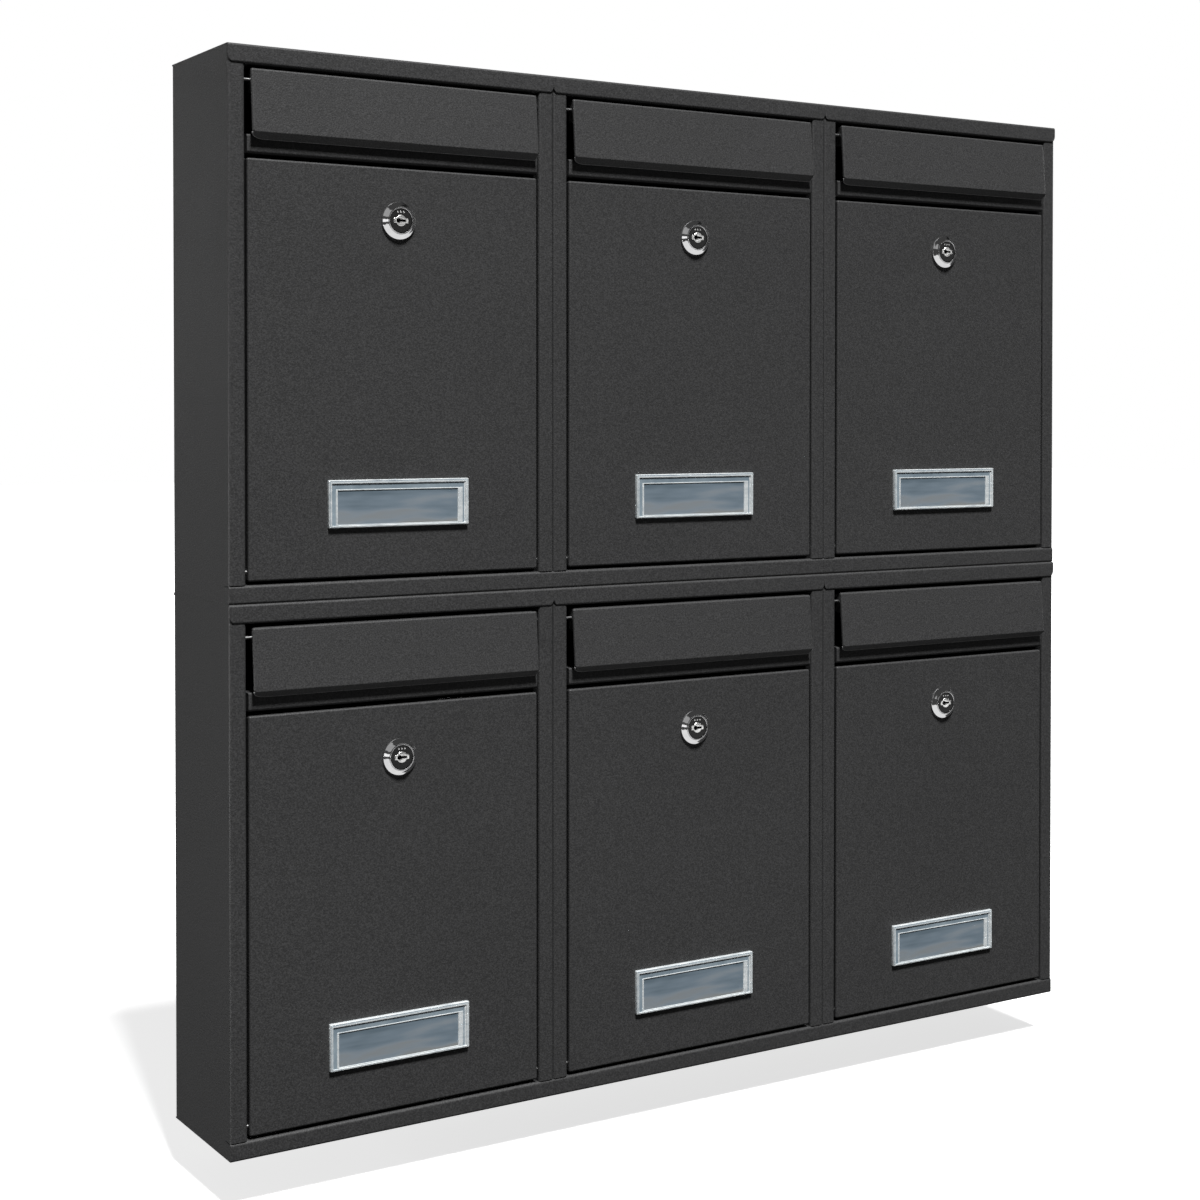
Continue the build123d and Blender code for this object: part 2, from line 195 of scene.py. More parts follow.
def powder_coat(name, lift=1.0):
    """Anthracite powder coat: a fine pebbled skin over sheet that is never quite flat."""
    material, nodes, links, shader = new_material(name)
    place = nodes.new("ShaderNodeTexCoord").outputs["Object"]
    grain = noise_of(nodes, links, place, 2600.0, 2.0, 0.6)
    pebble = noise_of(nodes, links, place, 1150.0, 2.0, 0.5)
    cloud = noise_of(nodes, links, place, 9.0, 3.0, 0.5)
    wave = noise_of(nodes, links, place, 14.0, 1.0, 0.4)
    # lift makes every grey lighter; above 1 it paints a highlight, as on the lip's edge bead
    greys = ((0.30, 0.0225), (0.50, 0.0360), (0.70, 0.0540))
    stops = [(at, (grey * lift, grey * lift, grey * lift * 1.015)) for at, grey in greys]
    tone = ramp_of(nodes, links, pebble.outputs["Fac"], stops)
    shade = nodes.new("ShaderNodeMix")
    shade.data_type = "RGBA"
    shade.blend_type = "MULTIPLY"
    shade.inputs["Factor"].default_value = 1.0
    soft = ramp_of(nodes, links, cloud.outputs["Fac"], [(0.3, (0.93, 0.93, 0.93)), (0.7, (1.0, 1.0, 1.0))])
    links.new(tone.outputs["Color"], shade.inputs["A"])
    links.new(soft.outputs["Color"], shade.inputs["B"])
    links.new(shade.outputs["Result"], shader.inputs["Base Color"])
    rough = range_of(nodes, links, grain.outputs["Fac"], 0.42, 0.66)
    links.new(rough.outputs["Result"], shader.inputs["Roughness"])
    shader.inputs["Specular IOR Level"].default_value = 0.40
    large = bump_of(nodes, links, wave.outputs["Fac"], 0.0010, 0.5)
    middle = bump_of(nodes, links, pebble.outputs["Fac"], 0.00022, 0.75, large.outputs["Normal"])
    fine = bump_of(nodes, links, grain.outputs["Fac"], 0.00008, 0.6, middle.outputs["Normal"])
    links.new(fine.outputs["Normal"], shader.inputs["Normal"])
    return material


def chrome():
    """Polished chrome with faint smears."""
    material, nodes, links, shader = new_material("polished_chrome")
    place = nodes.new("ShaderNodeTexCoord").outputs["Object"]
    smear = noise_of(nodes, links, place, 260.0, 4.0, 0.6)
    stops = [(0.3, (0.80, 0.80, 0.81)), (0.7, (0.90, 0.90, 0.90))]
    colour_and_roughness(nodes, links, shader, smear.outputs["Fac"], stops, 0.03, 0.13)
    shader.inputs["Metallic"].default_value = 1.0
    return material


def zinc(name, dark, light, rough_low, rough_high):
    """Bright zinc or die-cast metal with a fine mottle."""
    material, nodes, links, shader = new_material(name)
    place = nodes.new("ShaderNodeTexCoord").outputs["Object"]
    mottle = noise_of(nodes, links, place, 900.0, 4.0, 0.6)
    stops = [(0.3, dark), (0.7, light)]
    colour_and_roughness(nodes, links, shader, mottle.outputs["Fac"], stops, rough_low, rough_high)
    shader.inputs["Metallic"].default_value = 1.0
    bump = bump_of(nodes, links, mottle.outputs["Fac"], 0.00005, 0.4)
    links.new(bump.outputs["Normal"], shader.inputs["Normal"])
    return material


def black_plastic():
    """Satin black face of the lock."""
    material, nodes, links, shader = new_material("black_lock_face")
    place = nodes.new("ShaderNodeTexCoord").outputs["Object"]
    grain = noise_of(nodes, links, place, 1800.0, 2.0, 0.5)
    stops = [(0.3, (0.006, 0.006, 0.006)), (0.7, (0.011, 0.011, 0.011))]
    colour_and_roughness(nodes, links, shader, grain.outputs["Fac"], stops, 0.32, 0.48)
    shader.inputs["Specular IOR Level"].default_value = 0.2
    return material


def painted_bright_rim():
    """Edges of the clear moulding, painted nearly white: a painted highlight for the light that clear edges
    gather.
    """
    material, nodes, links, shader = new_material("name_plate_rim")
    place = nodes.new("ShaderNodeTexCoord").outputs["Object"]
    stretch = nodes.new("ShaderNodeMapping")
    stretch.inputs["Scale"].default_value = (0.25, 1.0, 1.0)
    links.new(place, stretch.inputs["Vector"])
    streak = noise_of(nodes, links, stretch.outputs["Vector"], 420.0, 3.0, 0.6)
    # Painted highlight: near-white greys stand in for the light gathered in the clear edges
    stops = [(0.25, (0.50, 0.55, 0.58)), (0.5, (0.72, 0.76, 0.77)), (0.75, (0.86, 0.88, 0.88))]
    colour_and_roughness(nodes, links, shader, streak.outputs["Fac"], stops, 0.10, 0.25)
    shader.inputs["Transmission Weight"].default_value = 0.25
    shader.inputs["IOR"].default_value = 1.49
    shader.inputs["Coat Weight"].default_value = 0.6
    return material


def tinted_band():
    """The recessed band around the window, seen through the clear moulding."""
    material, nodes, links, shader = new_material("name_plate_band")
    place = nodes.new("ShaderNodeTexCoord").outputs["Object"]
    streak = noise_of(nodes, links, place, 60.0, 3.0, 0.6)
    stops = [(0.3, (0.16, 0.21, 0.25)), (0.7, (0.28, 0.34, 0.38))]
    colour_and_roughness(nodes, links, shader, streak.outputs["Fac"], stops, 0.08, 0.2)
    shader.inputs["Coat Weight"].default_value = 0.8
    return material


def window_card():
    """Blank card behind the window: cool above, warmer grey below, with soft bands."""
    material, nodes, links, shader = new_material("name_card")
    place = nodes.new("ShaderNodeTexCoord").outputs["Generated"]
    split = nodes.new("ShaderNodeSeparateXYZ")
    links.new(place, split.inputs["Vector"])
    stretch = nodes.new("ShaderNodeMapping")
    stretch.inputs["Scale"].default_value = (1.5, 1.0, 2.6)
    stretch.inputs["Rotation"].default_value = (0, math.radians(-14), 0)
    links.new(place, stretch.inputs["Vector"])
    drift = noise_of(nodes, links, stretch.outputs["Vector"], 1.1, 2.5, 0.45)
    mixed = nodes.new("ShaderNodeMath")
    mixed.operation = "MULTIPLY_ADD"
    mixed.inputs[1].default_value = -0.34
    links.new(split.outputs["Z"], mixed.inputs[0])
    links.new(drift.outputs["Fac"], mixed.inputs[2])
    tint = ramp_of(nodes, links, mixed.outputs["Value"], [
        (0.10, (0.098, 0.135, 0.165)), (0.27, (0.150, 0.195, 0.235)), (0.40, (0.200, 0.235, 0.265)),
        (0.55, (0.205, 0.215, 0.215)),
    ])
    links.new(tint.outputs["Color"], shader.inputs["Base Color"])
    fibre = noise_of(nodes, links, nodes["Texture Coordinate"].outputs["Object"], 1400.0, 3.0, 0.6)
    rough = range_of(nodes, links, fibre.outputs["Fac"], 0.5, 0.7)
    links.new(rough.outputs["Result"], shader.inputs["Roughness"])
    shader.inputs["Coat Weight"].default_value = 1.0
    shader.inputs["Coat Roughness"].default_value = 0.06
    return material


COAT = powder_coat("anthracite_powder_coat")
# Painted highlight: greys four times lighter, standing in for the glint along the lip's free edge
PAINTED_EDGE_GLINT = powder_coat("thin_coat_on_edge", 4.0)
CHROME = chrome()
CAST = zinc("die_cast_core", (0.60, 0.60, 0.59), (0.80, 0.80, 0.79), 0.26, 0.42)
ZINC = zinc("bright_zinc", (0.52, 0.53, 0.54), (0.74, 0.74, 0.73), 0.22, 0.42)
BLACK = black_plastic()
RIM = painted_bright_rim()
BAND = tinted_band()
CARD = window_card()


# ---------------------------------------------------------------- mesh building

def mesh_of(bm, name):
    """Turns a bmesh into a mesh and frees it."""
    mesh = bpy.data.meshes.new(name)
    bm.to_mesh(mesh)
    bm.free()
    return mesh


def new_object(name, data):
    obj = bpy.data.objects.new(name, data)
    bpy.context.scene.collection.objects.link(obj)
    return obj


def with_modifiers(obj, *tools):
    """The mesh an object has after its modifiers. The object and its tools are removed."""
    bpy.context.view_layer.update()
    mesh = bpy.data.meshes.new_from_object(obj.evaluated_get(bpy.context.evaluated_depsgraph_get()))
    for piece in (obj, *tools):
        bpy.data.objects.remove(piece)
    return mesh


def filleted(points, radii):
    """Open outline with its inner corners rounded by arcs."""
    outline = [Vector(points[0])]
    for before, corner, after, radius in zip(points, points[1:], points[2:], radii):
        corner, before, after = Vector(corner), Vector(before), Vector(after)
        a, b = (before - corner).normalized(), (after - corner).normalized()
        half = a.angle(b) / 2
        reach = radius / math.tan(half)
        centre = corner + (a + b).normalized() * (radius / math.sin(half))
        start, end = corner + a * reach - centre, corner + b * reach - centre
        turn = start.angle_signed(end)
        for step in range(ARC + 1):
            angle = -turn * step / ARC
            c, s = math.cos(angle), math.sin(angle)
            outline.append(centre + Vector((start.x * c - start.y * s, start.x * s + start.y * c)))
    outline.append(Vector(points[-1]))
    return outline


def offset_inwards(outline, thickness, side):
    """The outline moved sideways by the sheet's thickness: side is 1 for left, -1 for right."""
    moved = []
    for i, point in enumerate(outline):
        ahead = (outline[i + 1] - point).normalized() if i + 1 < len(outline) else None
        behind = (point - outline[i - 1]).normalized() if i else None
        ahead, behind = ahead or behind, behind or ahead
        normals = [Vector((-d.y, d.x)) * side for d in (behind, ahead)]
        middle = (normals[0] + normals[1]).normalized()
        moved.append(point + middle * (thickness / middle.dot(normals[0])))
    return moved


def grid_solid(bm, outer, inner):
    """Closed sheet between two equal grids of points."""
    rows, columns = len(outer), len(outer[0])
    skins = [[[bm.verts.new(p) for p in row] for row in skin] for skin in (outer, inner)]
    top, under = skins
    for r in range(rows - 1):
        for c in range(columns - 1):
            bm.faces.new((top[r][c], top[r][c + 1], top[r + 1][c + 1], top[r + 1][c]))
            bm.faces.new((under[r][c], under[r + 1][c], under[r + 1][c + 1], under[r][c + 1]))
    for r in range(rows - 1):
        for c, flip in ((0, 1), (columns - 1, -1)):
            quad = (top[r][c], top[r + 1][c], under[r + 1][c], under[r][c])
            bm.faces.new(quad[::flip])
    for c in range(columns - 1):
        for r, flip in ((0, -1), (rows - 1, 1)):
            quad = (top[r][c], top[r][c + 1], under[r][c + 1], under[r][c])
            bm.faces.new(quad[::flip])


def bent_sheet(bm, points, radii, side, start, end, to_3d):
    """A bent sheet: the outline of its outer face, drawn out from start to end."""
    outline = filleted(points, radii)
    back = offset_inwards(outline, SHEET, side)
    skins = [[[to_3d(p.x, p.y, at) for p in line] for at in (start, end)] for line in (outline, back)]
    grid_solid(bm, *skins)


def from_yz(y, z, x):
    return Vector((x, y, z))


def from_xy(x, y, z):
    return Vector((x, y, z))


def from_xz(x, z, y):
    return Vector((x, y, z))


def add_block(bm, low, high):
    matrix = Matrix.Translation((Vector(low) + Vector(high)) / 2)
    size = Vector(high) - Vector(low)
    bmesh.ops.create_cube(bm, size=1.0, matrix=matrix @ Matrix.Diagonal((*size, 1.0)))


def add_rod_y(bm, radius, y0, y1, x, z, steps=TURN):
    matrix = Matrix.Translation((x, (y0 + y1) / 2, z)) @ Matrix.Rotation(math.pi / 2, 4, "X")
    bmesh.ops.create_cone(
        bm, cap_ends=True, segments=steps, radius1=radius, radius2=radius, depth=y1 - y0, matrix=matrix
    )


def add_turned(bm, profile, x, z, steps=TURN):
    """Solid of revolution about a Y axis. The profile is (radius, y), from the front round to the back."""
    rings = []
    for radius, y in profile:
        if radius == 0:
            rings.append([bm.verts.new((x, y, z))])
        else:
            angles = [2 * math.pi * k / steps for k in range(steps)]
            circle = [(x + radius * math.cos(a), y, z + radius * math.sin(a)) for a in angles]
            rings.append([bm.verts.new(point) for point in circle])
    for one, two in zip(rings, rings[1:]):
        for k in range(steps):
            nearby = (k + 1) % steps
            if len(one) == 1:
                bm.faces.new((one[0], two[nearby], two[k]))
            elif len(two) == 1:
                bm.faces.new((one[k], one[nearby], two[0]))
            else:
                bm.faces.new((one[k], one[nearby], two[nearby], two[k]))


def add_loops(bm, loops, close_first=False, close_last=False):
    """Skin through closed loops of equal length. Returns the faces between each pair of loops."""
    rings = [[bm.verts.new(p) for p in loop] for loop in loops]
    bands = []
    for one, two in zip(rings, rings[1:]):
        count = len(one)
        bands.append([
            bm.faces.new((one[k], one[(k + 1) % count], two[(k + 1) % count], two[k])) for k in range(count)
        ])
    if close_first:
        bands.append([bm.faces.new(rings[0][::-1])])
    if close_last:
        bands.append([bm.faces.new(rings[-1])])
    return bands


def finished(name, bm, material, bevel=EDGE, cutters=None, smooth=35):
    """Turns a bmesh into a mesh in metres, with holes cut, edges rounded and smooth bends."""
    bmesh.ops.recalc_face_normals(bm, faces=bm.faces)
    obj = new_object(name, mesh_of(bm, name))
    tools = []
    if cutters is not None:
        bmesh.ops.recalc_face_normals(cutters, faces=cutters.faces)
        tools.append(new_object(name + "_cutter", mesh_of(cutters, name + "_cutter")))
        cut = obj.modifiers.new("cut", "BOOLEAN")
        cut.operation, cut.solver, cut.object = "DIFFERENCE", "EXACT", tools[0]
        cut.use_self = True
        weld = obj.modifiers.new("weld", "WELD")
        weld.merge_threshold = WELD
    if bevel:
        rounding = obj.modifiers.new("edges", "BEVEL")
        rounding.width, rounding.segments = bevel, 2
        rounding.limit_method, rounding.angle_limit = "ANGLE", math.radians(50)
        rounding.use_clamp_overlap = True
    result = with_modifiers(obj, *tools)
    result.name = name
    result.transform(Matrix.Scale(MM, 4))
    result.materials.append(material)
    result.shade_smooth()
    result.set_sharp_from_angle(angle=math.radians(smooth))
    return result


def joined(name, meshes):
    """One mesh from several, with their materials kept."""
    bm = bmesh.new()
    materials = []
    for mesh in meshes:
        start = len(bm.faces)
        bm.from_mesh(mesh)
        bm.faces.ensure_lookup_table()
        places = []
        for material in mesh.materials:
            if material not in materials:
                materials.append(material)
            places.append(materials.index(material))
        for face in bm.faces[start:]:
            face.material_index = places[face.material_index]
    bmesh.ops.delete(bm, geom=[vertex for vertex in bm.verts if not vertex.link_faces], context="VERTS")
    result = mesh_of(bm, name)
    for material in materials:
        result.materials.append(material)
    return result


def arc_profile(centre, radius, start, end, steps=5):
    """Points along an arc, its ends given in degrees."""
    angles = [math.radians(start + (end - start) * k / steps) for k in range(steps + 1)]
    return [(centre[0] + radius * math.cos(a), centre[1] + radius * math.sin(a)) for a in angles]


def rounded_rectangle(x0, x1, z0, z1, radius, y, steps=5):
    """Closed loop of points in a plane across Y."""
    loop = []
    corners = ((x1 - radius, z1 - radius, 0), (x0 + radius, z1 - radius, 90),
               (x0 + radius, z0 + radius, 180), (x1 - radius, z0 + radius, 270))
    for cx, cz, start in corners:
        for k in range(steps + 1):
            a = math.radians(start + 90 * k / steps)
            loop.append(Vector((cx + radius * math.cos(a), y, cz + radius * math.sin(a))))
    return loop


def add_corner_cutter(bm, corner, reach, start, end, to_3d):
    """What is cut away outside a rounded corner. The reach is the rounding each way, signed inwards."""
    (cu, cv), (ru, rv) = corner, reach
    over_u, over_v = math.copysign(1.0, ru), math.copysign(1.0, rv)
    outline = [(cu - over_u, cv + rv)]
    steps = 12
    for k in range(steps + 1):
        angle = math.radians(90 * k / steps)
        outline.append((cu + ru * (1 - math.cos(angle)), cv + rv * (1 - math.sin(angle))))
    outline += [(cu + ru, cv - over_v), (cu - over_u, cv - over_v)]
    loops = [[to_3d(u, v, at) for u, v in outline] for at in (start, end)]
    add_loops(bm, loops, close_first=True, close_last=True)


BLOCK_FACES = ((0, 1, 2, 3), (4, 5, 6, 7), (0, 1, 5, 4), (1, 2, 6, 5), (2, 3, 7, 6), (3, 0, 4, 7))


def tray(bm, corners, bevel_edges, open_faces, radius):
    """Block with eight corners and rounded edges, left open at some of its faces."""
    verts = [bm.verts.new(p) for p in corners]
    made = [bm.faces.new([verts[i] for i in face]) for face in BLOCK_FACES]
    bmesh.ops.recalc_face_normals(bm, faces=bm.faces)
    centres = [made[i].calc_center_median() for i in open_faces]
    normals = [made[i].normal.copy() for i in open_faces]
    edges = [bm.edges.get((verts[a], verts[b])) for a, b in bevel_edges]
    bmesh.ops.bevel(bm, geom=edges, offset=radius, segments=ARC, profile=0.5, affect="EDGES")
    doomed = []
    for face in bm.faces:
        for centre, normal in zip(centres, normals):
            level = abs((face.calc_center_median() - centre).dot(normal)) < HAIR
            if level and face.normal.dot(normal) > 0.999:
                doomed.append(face)
    bmesh.ops.delete(bm, geom=doomed, context="FACES")


def thick_tray(name, corners, bevel_edges, open_faces, radius):
    """The tray with its wall, as a finished mesh."""
    bm = bmesh.new()
    tray(bm, corners, bevel_edges, open_faces, radius)
    obj = new_object(name, mesh_of(bm, name))
    wall = obj.modifiers.new("wall", "SOLIDIFY")
    wall.thickness, wall.offset = SHEET, -1.0
    wall.use_even_offset = True
    wall.use_quality_normals = True
    bm = bmesh.new()
    bm.from_mesh(with_modifiers(obj))
    return finished(name, bm, COAT)


# ---------------------------------------------------------------- sheet metal

def shell_mesh():
    """Back and sides folded from one sheet, and the bottom pan between them."""
    bm = bmesh.new()
    points = [(FLANGE, FLANGE_FOLD), (FLANGE, 0), (0, 0), (0, BOX_D)]
    points += [(BOX_W - x, y) for x, y in reversed(points)]
    radii = [SOFT_BEND, BEND, BEND, BEND, BEND, SOFT_BEND]
    bent_sheet(bm, points, radii, -1, SHEET, BOX_H - SHEET, from_xy)
    cutters = bmesh.new()
    low = PAN_FLANGE + JOINT_GAP
    add_block(cutters, (SHEET, -1, -1), (FLANGE + 1, FLANGE_FOLD + 1, low))
    add_block(cutters, (BOX_W - FLANGE - 1, -1, -1), (BOX_W - SHEET, FLANGE_FOLD + 1, low))
    add_block(cutters, (-1, -2, -2), (BOX_W + 1, SHEET + CORNER_GAP, low))
    for x in (BOX_W / 2 - WALL_HOLE_X, BOX_W / 2 + WALL_HOLE_X):
        for z in (BOX_H / 2 - WALL_HOLE_Z, BOX_H / 2 + WALL_HOLE_Z):
            add_rod_y(cutters, WALL_HOLE_R, BOX_D - 2, BOX_D + 2, x, z, 40)
    wrapper = finished("wrapper", bm, COAT, cutters=cutters)
    bm = bmesh.new()
    pan = [(FLANGE_FOLD + 1, PAN_FLANGE), (0, PAN_FLANGE), (0, 0), (BOX_D, 0)]
    bent_sheet(bm, pan, [SOFT_BEND, BEND], 1, 0, BOX_W, from_yz)
    bottom = finished("pan", bm, COAT)
    return joined("shell", [wrapper, bottom])


def cover_mesh():
    """Top cover, whose front flange laps over the shell's flanges."""
    bm = bmesh.new()
    z_low = BOX_H - COVER_FLANGE
    points = [(FLANGE_FOLD, z_low), (-SHEET, z_low), (-SHEET, BOX_H), (BOX_D, BOX_H)]
    bent_sheet(bm, points, [BEND, BEND], -1, 0, BOX_W, from_yz)
    cutters = bmesh.new()
    clear = FLANGE + COVER_GAP
    for x0, x1 in ((-1, clear), (BOX_W - clear, BOX_W + 1)):
        add_block(cutters, (x0, 0, z_low - 1), (x1, FLANGE_FOLD + 1, BOX_H - SHEET - HAIR))
    for x, reach in ((0, COVER_CORNER), (BOX_W, -COVER_CORNER)):
        add_corner_cutter(cutters, (x, z_low), (reach, COVER_CORNER), -SHEET - 1, HAIR, from_xz)
    return finished("cover", bm, COAT, cutters=cutters)


def rail_mesh():
    """Sill rail across the opening, with a tab at each end."""
    bm = bmesh.new()
    z0, z1 = RAIL_LOW.z, RAIL_HIGH.z
    x0, x1 = RAIL_END, BOX_W - RAIL_END
    points = [(RAIL_LOW_FOLD, z0), (0, z0), (0, z1), (RAIL_TOP_FOLD, z1)]
    bent_sheet(bm, points, [RAIL_LOW_BEND, RAIL_BEND], -1, x0, x1, from_yz)
    body = finished("rail_body", bm, COAT)
    bm = bmesh.new()
    end = [(SHEET, FLANGE_FOLD), (x0, FLANGE_FOLD), (x0, SHEET)]
    for flip in (False, True):
        points = [(BOX_W - x, y) for x, y in end] if flip else end
        bent_sheet(bm, points, [TAB_BEND], -1 if flip else 1, z0 + SHEET, z1 - SHEET, from_xy)
    ends = finished("rail_ends", bm, COAT)
    return joined("rail", [body, ends])


def door_mesh():
    """Door, a shallow tray open to the back."""
    x0, x1, z0, z1 = DOOR_LOW.x, DOOR_HIGH.x, DOOR_LOW.z, DOOR_HIGH.z
    depth = DOOR_HIGH.y
    corners = [(x, y, z) for y in (0, depth) for x, z in ((x0, z0), (x1, z0), (x1, z1), (x0, z1))]
    rims = [(0, 1), (1, 2), (2, 3), (3, 0), (0, 4), (1, 5), (2, 6), (3, 7)]
    return thick_tray("door", corners, rims, [1], DOOR_BEND)


def flap_mesh():
    """Leaning letter flap with its ears for the hinge and its lip."""
    x0, x1, z_top = FLAP_LOW.x, FLAP_HIGH.x, FLAP_HIGH.z
    low_y, fold_y = FLAP_LOW.y, FLAP_HIGH.y
    z_low = FLAP_LOW_Z + LIP_START
    start_y = low_y + LIP_START * (FLAP_TOP_Y - low_y) / (z_top - FLAP_LOW_Z)
    front = FLAP_TOP_Y + FLAP_RETURN
    side = [(FLAP_TOP_Y, z_top), (front, z_top), (start_y + FLAP_RETURN, z_low), (start_y, z_low)]
    corners = [(x, y, z) for x in (x0, x1) for y, z in side]
    rims = [(0, 4), (0, 3), (4, 7), (0, 1), (4, 5)]
    face = thick_tray("flap_face", corners, rims, [3, 4], FLAP_BEND)
    bm = bmesh.new()
    left, right, ear_low = x0 + EAR_INSET, x1 - EAR_INSET, z_top - EAR_H
    points = [(left, ear_low), (left, z_top), (right, z_top), (right, ear_low)]
    bent_sheet(bm, points, [FLAP_BEND, FLAP_BEND], -1, front, fold_y, from_xz)
    cutters = bmesh.new()
    for y, reach in ((front, EAR_CORNER), (fold_y, -EAR_CORNER)):
        for x in (left, right):
            add_corner_cutter(cutters, (y, ear_low), (reach, EAR_CORNER), x - 2, x + 2, from_yz)
    ears = finished("flap_ears", bm, COAT, cutters=cutters)
    return joined("flap", [face, ears, lip_mesh(x0, x1, low_y, start_y)])


def lip_mesh(x0, x1, low_y, start_y):
    """Lip bent back under the flap's lower edge, rounded at its left end."""
    corner, end = Vector((low_y, FLAP_LOW_Z)), Vector((LIP_Y, FLAP_LOW.z))
    lean = (Vector((start_y, FLAP_LOW_Z + LIP_START)) - corner).normalized()
    start = corner + lean * (2 * LIP_START) + Vector((lean.y, -lean.x)) * LIP_LIFT
    outline = filleted([start, corner, end], [LIP_BEND])
    back = offset_inwards(outline, SHEET, 1)
    bend_end = outline[-2]
    run = end - bend_end
    sink = back[-2] - bend_end
    rows = []
    for point, deep in zip(outline[:-1], back[:-1]):
        inset = LIP_HIDDEN_INSET if point.y > FLAP_LOW_Z + LIP_START / 2 else LIP_INSET
        rows.append((point, deep, inset, inset))
    steps = 16
    for k in range(1, steps + 1):
        angle = math.pi / 2 * k / steps
        move, turn = run * math.sin(angle), 1 - math.cos(angle)
        ends = [LIP_INSET + (radius - LIP_INSET) * turn for radius in (LIP_LEFT_R, LIP_RIGHT_R)]
        rows.append((bend_end + move, back[-2] + move, *ends))
    outer = [[Vector((x, p.x, p.y)) for x in (x0 + left, x1 - right)] for p, _, left, right in rows]
    inner = [[Vector((x, p.x, p.y)) for x in (x0 + left, x1 - right)] for _, p, left, right in rows]
    bm = bmesh.new()
    grid_solid(bm, outer, inner)
    lip = finished("lip", bm, COAT, bevel=0.2)
    rim = [(p + sink / 2, left, right) for p, _, left, right in rows[-steps:]]
    path = [Vector((x0 + left, p.x, p.y)) for p, left, _ in rim]
    path += [Vector((x1 - right, p.x, p.y)) for p, _, right in reversed(rim)]
    across = Vector((0, *sink.normalized()))
    # The bead along the free edge carries the painted highlight of the edge glint
    return joined("lip", [lip, bead_mesh(path, across, LIP_BEAD_R)])


def bead_mesh(path, across, radius, steps=10):
    """Round bead along a path in a plane, where the coat gathers at a cut edge. Its coat is painted four
    times lighter: a painted highlight for the glint along the edge.
    """
    loops = []
    for i, point in enumerate(path):
        ahead = (path[min(i + 1, len(path) - 1)] - path[max(i - 1, 0)]).normalized()
        aside = ahead.cross(across).normalized()
        angles = [2 * math.pi * k / steps for k in range(steps)]
        loops.append([point + (aside * math.cos(a) + across * math.sin(a)) * radius for a in angles])
    bm = bmesh.new()
    add_loops(bm, loops, close_first=True, close_last=True)
    return finished("bead", bm, PAINTED_EDGE_GLINT, bevel=0, smooth=60)


# ---------------------------------------------------------------- lock

def bezel_mesh():
    """Polished bezel and threaded barrel."""
    bm = bmesh.new()
    bore = FACE_R + 0.12
    profile = [(bore, 0.5), (bore, -3.75)]
    profile += arc_profile((bore + 0.24, -3.8), 0.24, 180, 360, 8)
    profile += [(bore + 0.5, -3.4), (bore + 0.64, -3.4)]
    profile += arc_profile((bore + 0.84, -3.42), 0.2, 180, 310, 5)
    profile += [(9.2, -2.83), (10.2, -2.05)]
    profile += arc_profile((BEZEL_R - 0.45, -1.2), 0.45, 308, 360, 6)
    profile += [(BEZEL_R, -0.3), (BEZEL_R - 0.12, 0.0), (BARREL_R, 0.0)]
    y, root = SHEET, BARREL_R - THREAD_DEPTH
    while y + THREAD_PITCH < BARREL_END - 0.6:
        profile += [(BARREL_R, y + 0.15), (BARREL_R, y + 0.35), (root, y + 0.75), (root, y + 0.85)]
        y += THREAD_PITCH
    profile += [(root, BARREL_END - 0.4), (BARREL_R - 0.8, BARREL_END), (BORE_R, BARREL_END), (BORE_R, 0.5)]
    profile += [profile[0]]
    add_turned(bm, profile, LOCK_X, LOCK_Z)
    bmesh.ops.remove_doubles(bm, verts=bm.verts, dist=SEAM)
    return finished("bezel", bm, CHROME, bevel=0, smooth=28)


def nut_mesh():
    """Hexagon nut behind the door, its corners chamfered."""
    bm = bmesh.new()
    flats, corners, steps = NUT_ACROSS / 2, NUT_ACROSS / math.sqrt(3), 72

    def ring(limit, y):
        loop = []
        for k in range(steps):
            angle = 2 * math.pi * k / steps
            from_flat = (angle - math.radians(30)) % math.radians(60) - math.radians(30)
            r = min(limit, flats / math.cos(from_flat))
            loop.append(Vector((LOCK_X + r * math.cos(angle), SHEET + y, LOCK_Z + r * math.sin(angle))))
        return loop

    half = [(BARREL_R - 0.2, 0), (flats - 0.1, 0), ((flats + corners) / 2, 0.35), (corners, 0.75)]
    profile = half + [(limit, NUT_H - y) for limit, y in reversed(half)] + half[:1]
    loops = [ring(limit, y) for limit, y in profile]
    add_loops(bm, loops)
    bmesh.ops.remove_doubles(bm, verts=bm.verts, dist=SEAM)
    return finished("nut", bm, ZINC, bevel=0, smooth=40)


def core_outline(radius, wing, reach, y, steps=84):
    """Round boss with a blunt wing at each end of the key slot."""
    loop = []
    for k in range(steps):
        angle = 2 * math.pi * k / steps
        c, s = math.cos(angle), math.sin(angle)
        along = min(reach / max(abs(c), 0.001), wing / max(abs(s), 0.001))
        best = max(radius, min(along, math.hypot(reach, wing * 0.55)))
        loop.append(Vector((LOCK_X + best * c, y, LOCK_Z + best * s)))
    return loop


